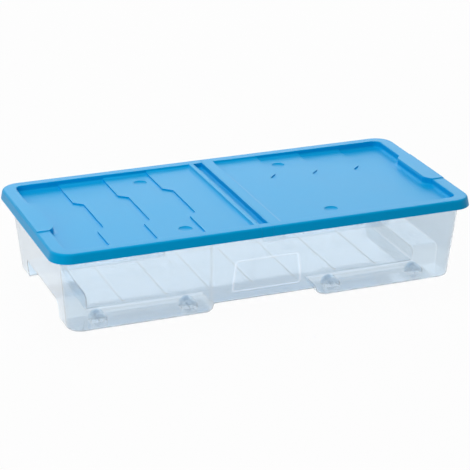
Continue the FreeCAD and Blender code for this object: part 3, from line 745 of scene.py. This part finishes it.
def handlingGroup():
    # slow, faint unevenness of gloss left by moulding and handling
    group, takes, gives = newGroup(
        "handling", [("Gloss", "NodeSocketFloat", 0.3), ("Spread", "NodeSocketFloat", 0.06)],
        [("Roughness", "NodeSocketFloat"), ("Mask", "NodeSocketFloat")])
    nodes, links = group.nodes, group.links
    place = nodes.new("ShaderNodeTexCoord")
    noise = nodes.new("ShaderNodeTexNoise")
    noise.inputs["Scale"].default_value = effects["handlingSize"]
    noise.inputs["Detail"].default_value = effects["handlingDetail"]
    noise.inputs["Roughness"].default_value = effects["handlingRoughness"]
    spread = nodes.new("ShaderNodeMath")
    spread.operation = "MULTIPLY_ADD"
    centred = nodes.new("ShaderNodeMath")
    centred.operation = "SUBTRACT"
    centred.inputs[1].default_value = 0.5  # the noise swings about its middle
    links.new(place.outputs["Object"], noise.inputs["Vector"])
    links.new(noise.outputs["Fac"], centred.inputs[0])
    links.new(centred.outputs[0], spread.inputs[0])
    links.new(takes.outputs["Spread"], spread.inputs[1])
    links.new(takes.outputs["Gloss"], spread.inputs[2])
    links.new(spread.outputs[0], gives.inputs["Roughness"])
    links.new(noise.outputs["Fac"], gives.inputs["Mask"])
    return group


def makeHighlightGroup():
    # painted highlight: a mask that is strong where the surface turns a corner, used to lighten
    # the colour there
    group, takes, gives = newGroup(
        "painted edge highlight", [("Reach", "NodeSocketFloat", 0.002), ("Strength", "NodeSocketFloat", 3)],
        [("Mask", "NodeSocketFloat")])
    nodes, links = group.nodes, group.links
    smooth = nodes.new("ShaderNodeBevel")
    smooth.samples = effects["edgeSamples"]
    surface = nodes.new("ShaderNodeNewGeometry")
    alike = nodes.new("ShaderNodeVectorMath")
    alike.operation = "DOT_PRODUCT"
    turned = nodes.new("ShaderNodeMath")
    turned.operation = "SUBTRACT"
    turned.inputs[0].default_value = 1
    scaled = nodes.new("ShaderNodeMath")
    scaled.operation = "MULTIPLY"
    scaled.use_clamp = True
    links.new(takes.outputs["Reach"], smooth.inputs["Radius"])
    links.new(smooth.outputs["Normal"], alike.inputs[0])
    links.new(surface.outputs["Normal"], alike.inputs[1])
    links.new(alike.outputs["Value"], turned.inputs[1])
    links.new(turned.outputs[0], scaled.inputs[0])
    links.new(takes.outputs["Strength"], scaled.inputs[1])
    links.new(scaled.outputs[0], gives.inputs["Mask"])
    return group


grainGroup = mouldGrainGroup()
handleGroup = handlingGroup()
highlightGroup = makeHighlightGroup()


def addGroup(material, group, **values):
    node = material.node_tree.nodes.new("ShaderNodeGroup")
    node.node_tree = group
    for socket, value in values.items():
        node.inputs[socket].default_value = value
    return node


white = (1, 1, 1)

# gloss is roughness and its spread, grain is size and depth, edge is reach and strength of the
# painted edge highlight
looks = {
    "lid": {
        "shades": ((0.001, 0.392, 0.785), (0.002, 0.417, 0.825)),
        "gloss": (0.38, 0.05), "grain": (1100, 0.03),
        "edge": (0.001, 1.5), "highlightShade": (0.02, 0.5, 0.95),
        "shader": {"IOR": 1.4, "Specular Tint": (0, 0.45, 1, 1)},
    },
    "tub": {
        "shades": ((0.8, 0.87, 0.925), (0.82, 0.885, 0.935)),
        "gloss": (0.07, 0.03), "grain": (700, 0),
        "edge": (0.0025, 10), "highlightShade": white,
        # the emission strength makes the painted edge highlight glow
        "shader": {"IOR": 1.2, "Transmission Weight": 0.94, "Coat Weight": 1,
                   "Coat Roughness": 0.03, "Coat IOR": 1.4, "Emission Strength": 0.17},
        "bent": 0.9, "straightTint": (0.88, 0.93, 0.965), "lampTint": (0.96, 0.975, 0.985),
    },
    "wheel": {
        "shades": ((0.9, 0.93, 0.96), (0.92, 0.945, 0.97)),
        "gloss": (0.2, 0.05), "grain": (900, 0.02),
        "edge": (0.001, 3), "highlightShade": white,
        "shader": {"IOR": 1.14, "Transmission Weight": 0.85},
        "bent": 0.4, "straightTint": (0.97, 0.98, 0.99), "lampTint": (0.95, 0.965, 0.975),
    },
    "pin": {"shade": (0.78, 0.8, 0.83, 1), "gloss": (0.34, 0.1)},
}


def plastic(name, look):
    # moulded plastic: its colour varies a little between two shades, its gloss with handling, and
    # a painted highlight lightens its edges
    material = bpy.data.materials.new(name)
    material.use_nodes = True
    nodes, links = material.node_tree.nodes, material.node_tree.links
    shader = nodes["Principled BSDF"]
    for socket, value in look["shader"].items():
        shader.inputs[socket].default_value = value
    grain = addGroup(material, grainGroup, Size=look["grain"][0], Depth=look["grain"][1])
    handling = addGroup(material, handleGroup, Gloss=look["gloss"][0], Spread=look["gloss"][1])
    shades = nodes.new("ShaderNodeMix")
    shades.data_type = "RGBA"
    shades.inputs["A"].default_value = (*look["shades"][0], 1)
    shades.inputs["B"].default_value = (*look["shades"][1], 1)
    links.new(handling.outputs["Mask"], shades.inputs["Factor"])
    edge = addGroup(material, highlightGroup, Reach=look["edge"][0], Strength=look["edge"][1])
    # painted highlight: the colour is lightened towards the edge colour where the mask is strong
    highlighted = nodes.new("ShaderNodeMix")
    highlighted.data_type = "RGBA"
    highlighted.inputs["B"].default_value = (*look["highlightShade"], 1)
    links.new(edge.outputs["Mask"], highlighted.inputs["Factor"])
    links.new(shades.outputs["Result"], highlighted.inputs["A"])
    links.new(highlighted.outputs["Result"], shader.inputs["Base Color"])
    if "Emission Strength" in look["shader"]:  # painted glow: the edge highlight mask also feeds emission, so the edges glow
        links.new(edge.outputs["Mask"], shader.inputs["Emission Color"])
    links.new(handling.outputs["Roughness"], shader.inputs["Roughness"])
    links.new(grain.outputs["Normal"], shader.inputs["Normal"])
    return material


def clearMaterial(name, look):
    # hazy clear plastic: some light passes straight, the rest is bent, blurred and tinted
    material = plastic(name, look)
    nodes, links = material.node_tree.nodes, material.node_tree.links
    straight = nodes.new("ShaderNodeBsdfTransparent")
    straight.inputs["Color"].default_value = (*look["straightTint"], 1)
    mix = nodes.new("ShaderNodeMixShader")
    mix.inputs["Fac"].default_value = look["bent"]
    output = nodes["Material Output"]
    links.new(straight.outputs[0], mix.inputs[1])
    links.new(nodes["Principled BSDF"].outputs[0], mix.inputs[2])
    # lamps shine through it, only a little dimmed
    lampTint = nodes.new("ShaderNodeBsdfTransparent")
    lampTint.inputs["Color"].default_value = (*look["lampTint"], 1)
    path = nodes.new("ShaderNodeLightPath")
    lampMix = nodes.new("ShaderNodeMixShader")
    links.new(path.outputs["Is Shadow Ray"], lampMix.inputs["Fac"])
    links.new(mix.outputs[0], lampMix.inputs[1])
    links.new(lampTint.outputs[0], lampMix.inputs[2])
    links.new(lampMix.outputs[0], output.inputs["Surface"])
    return material


def pinMaterial():
    material = bpy.data.materials.new("bright pin wire")
    material.use_nodes = True
    shader = material.node_tree.nodes["Principled BSDF"]
    shader.inputs["Base Color"].default_value = looks["pin"]["shade"]
    shader.inputs["Metallic"].default_value = 1
    gloss, spread = looks["pin"]["gloss"]
    handling = addGroup(material, handleGroup, Gloss=gloss, Spread=spread)
    material.node_tree.links.new(handling.outputs["Roughness"], shader.inputs["Roughness"])
    return material


# stage, lights and camera
stage = {
    "floorSize": 12, "floorShade": (0.65, 0.65, 0.66, 1), "floorSeen": 0.965,
    "worldLight": 0.3, "worldSeen": 1, "aim": (0, 0, 0.1),
    "camera": {"azimuth": -20.971, "elevation": 21.538, "distance": 3.56411, "lens": 145.46,
               "sensor": 36, "right": 0.002069, "up": 0.072533, "clipEnd": 50},
    "lamps": (("rear softbox", (1.1, 2.4, 1.15), (3, 1.6), 18),
              ("top softbox", (-0.3, 0.3, 2.4), (2.4, 1.6), 24),
              ("left key", (-2.2, -1.4, 1.3), (1.5, 1.5), 18)),
}


def seenRays(nodes, links):
    # 1 where the camera, gloss or clear plastic looks, 0 for light that falls on the box
    path = nodes.new("ShaderNodeLightPath")
    straight = nodes.new("ShaderNodeMath")
    straight.operation = "MAXIMUM"
    seen = nodes.new("ShaderNodeMath")
    seen.operation = "MAXIMUM"
    links.new(path.outputs["Is Camera Ray"], straight.inputs[0])
    links.new(path.outputs["Is Transmission Ray"], straight.inputs[1])
    links.new(straight.outputs[0], seen.inputs[0])
    links.new(path.outputs["Is Glossy Ray"], seen.inputs[1])
    return seen.outputs[0]


def addFloor():
    clearSelection()
    bpy.ops.mesh.primitive_plane_add(size=stage["floorSize"], location=(0, 0, 0))
    floor = bpy.context.object
    floor.name = "studio_floor"
    material = bpy.data.materials.new("studio floor")
    material.use_nodes = True
    nodes, links = material.node_tree.nodes, material.node_tree.links
    nodes.clear()
    shade = nodes.new("ShaderNodeBsdfDiffuse")
    shade.inputs["Color"].default_value = stage["floorShade"]
    bright = nodes.new("ShaderNodeEmission")
    bright.inputs["Color"].default_value = (*white, 1)
    amount = nodes.new("ShaderNodeMath")
    amount.operation = "MULTIPLY"
    amount.inputs[1].default_value = stage["floorSeen"]
    top = nodes.new("ShaderNodeMixShader")
    links.new(seenRays(nodes, links), amount.inputs[0])
    links.new(amount.outputs[0], top.inputs[0])
    links.new(shade.outputs[0], top.inputs[1])
    links.new(bright.outputs[0], top.inputs[2])
    # from below the floor is not seen, so the underside of the box is
    surface = nodes.new("ShaderNodeNewGeometry")
    clear = nodes.new("ShaderNodeBsdfTransparent")
    sides = nodes.new("ShaderNodeMixShader")
    output = nodes.new("ShaderNodeOutputMaterial")
    links.new(surface.outputs["Backfacing"], sides.inputs[0])
    links.new(top.outputs[0], sides.inputs[1])
    links.new(clear.outputs[0], sides.inputs[2])
    links.new(sides.outputs[0], output.inputs["Surface"])
    floor.data.materials.append(material)


def addCamera():
    s = stage["camera"]
    turn, rise = math.radians(s["azimuth"]), math.radians(s["elevation"])
    back = Vector((math.sin(turn) * math.cos(rise), -math.cos(turn) * math.cos(rise),
                   math.sin(rise)))
    right = Vector((math.cos(turn), math.sin(turn), 0))
    up = back.cross(right)
    target = right * s["right"] + up * s["up"]
    data = bpy.data.cameras.new("camera")
    data.lens = s["lens"]
    data.sensor_width = s["sensor"]
    data.clip_end = s["clipEnd"]
    camera = bpy.data.objects.new("camera", data)
    bpy.context.scene.collection.objects.link(camera)
    camera.location = target + back * s["distance"]
    camera.rotation_mode = "QUATERNION"
    camera.rotation_quaternion = (-back).to_track_quat("-Z", "Y")
    bpy.context.scene.camera = camera


def addLamp(name, place, size, power):
    data = bpy.data.lights.new(name, "AREA")
    data.shape = "RECTANGLE"
    data.size, data.size_y = size
    data.energy = power
    lamp = bpy.data.objects.new(name, data)
    bpy.context.scene.collection.objects.link(lamp)
    lamp.location = place
    lamp.rotation_mode = "QUATERNION"
    lamp.rotation_quaternion = (Vector(stage["aim"]) - Vector(place)).to_track_quat("-Z", "Y")


def addWorld():
    # the box stands in a white studio, which lights it only a little
    world = bpy.data.worlds.new("studio")
    bpy.context.scene.world = world
    world.use_nodes = True
    nodes, links = world.node_tree.nodes, world.node_tree.links
    nodes["Background"].inputs["Color"].default_value = (*white, 1)
    level = nodes.new("ShaderNodeMath")
    level.operation = "MULTIPLY_ADD"
    level.inputs[1].default_value = stage["worldSeen"] - stage["worldLight"]
    level.inputs[2].default_value = stage["worldLight"]
    links.new(seenRays(nodes, links), level.inputs[0])
    links.new(level.outputs[0], nodes["Background"].inputs["Strength"])


print("lid")
bluePlastic = plastic("blue lid plastic", looks["lid"])
lidMade = lidPieces(bluePlastic)
for node, body in (("lid_left_half", "lid_left"), ("lid_hinge_strip", "lid_strip"),
                   ("lid_right_half", "lid_right")):
    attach(lidMade[node], body)
    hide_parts(node)

print("tub")
clearPlastic = clearMaterial("clear tub plastic", looks["tub"])
tubMade = tubPiece(clearPlastic)
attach(tubMade, "tub")
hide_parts("tub")

print("wheels")
wheelPlastic = clearMaterial("translucent wheel plastic", looks["wheel"])
pinMetal = pinMaterial()
firstWheel, firstPin = wheelModel(), pinModel()
for place, wheelX, isRear in wheelPlaces():
    wheelY = wheels["middleY"] if isRear else -wheels["middleY"]
    wheelMade = copyOf(firstWheel, wheelX, wheelY)
    finishPiece(wheelMade, "wheel_" + place + "_moulding", wheelPlastic)
    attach(wheelMade, "wheel_" + place + "_body")
    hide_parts("wheel_" + place)
    pinMade = copyOf(firstPin, wheelX, turned=not isRear)
    finishPiece(pinMade, "axle_" + place + "_wire", pinMetal)
    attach(pinMade, "tub")
    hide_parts("axle_" + place)
bpy.data.objects.remove(firstWheel)
bpy.data.objects.remove(firstPin)

print("stage")
addFloor()
addCamera()
addWorld()
for lamp in stage["lamps"]:
    addLamp(*lamp)

bpy.context.scene.view_settings.view_transform = "Standard"
